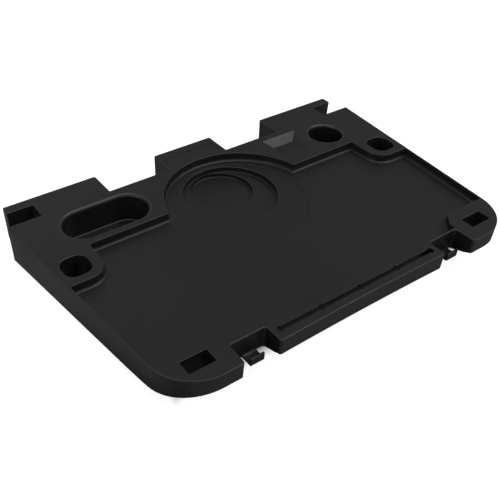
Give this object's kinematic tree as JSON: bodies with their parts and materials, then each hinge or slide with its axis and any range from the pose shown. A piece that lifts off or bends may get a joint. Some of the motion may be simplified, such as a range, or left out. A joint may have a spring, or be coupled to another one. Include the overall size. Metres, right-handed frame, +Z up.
{
  "type": "scaffold tool tray",
  "caption": "Black moulded work tray with raised rims, can recesses, tool holes, slotted tool rail, rear hanging lugs and front spring hooks.",
  "frame": {"origin": "bottom centre of the whole part's bounding box", "axes": "+X to the right seen from the front hooks, +Y to the rear lugs, +Z up through the work floor"},
  "size_m": [0.758, 0.5, 0.07],
  "materials": {
    "moulding": "fine-grained matte black",
    "hook_plastic": "fine-grained matte black"
  },
  "bodies": {
    "tray": {"work_floor": "moulding", "ring_seat": "moulding", "gallon_seat": "moulding", "quart_seat": "moulding", "shelf_left": "moulding", "shelf_right": "moulding", "tool_pocket": "moulding", "tapered_cup": "moulding", "sleeve_left": "moulding", "sleeve_right": "moulding", "sleeve_round": "moulding", "side_left": "moulding", "side_right": "moulding", "back_wall": "moulding", "corner_left": "moulding", "corner_right": "moulding", "front_rail": "moulding", "notch_left": "moulding", "notch_right": "moulding", "lug_left": "moulding", "lug_middle": "moulding", "lug_right": "moulding", "ribs": "moulding"},
    "hook_left": {"hook_left": "hook_plastic"},
    "hook_right": {"hook_right": "hook_plastic"}
  },
  "joints": [
    {"name": "hook_left_flex", "type": "hinge", "parent": "tray", "child": "hook_left", "pos_m": [-0.193, -0.213, 0.03], "axis": [1, 0, 0], "range_deg": [0, 6], "stiffness_Nm_per_rad": 0.5},
    {"name": "hook_right_flex", "type": "hinge", "parent": "tray", "child": "hook_right", "pos_m": [0.2085, -0.213, 0.03], "axis": [1, 0, 0], "range_deg": [0, 6], "stiffness_Nm_per_rad": 0.5}
  ]
}
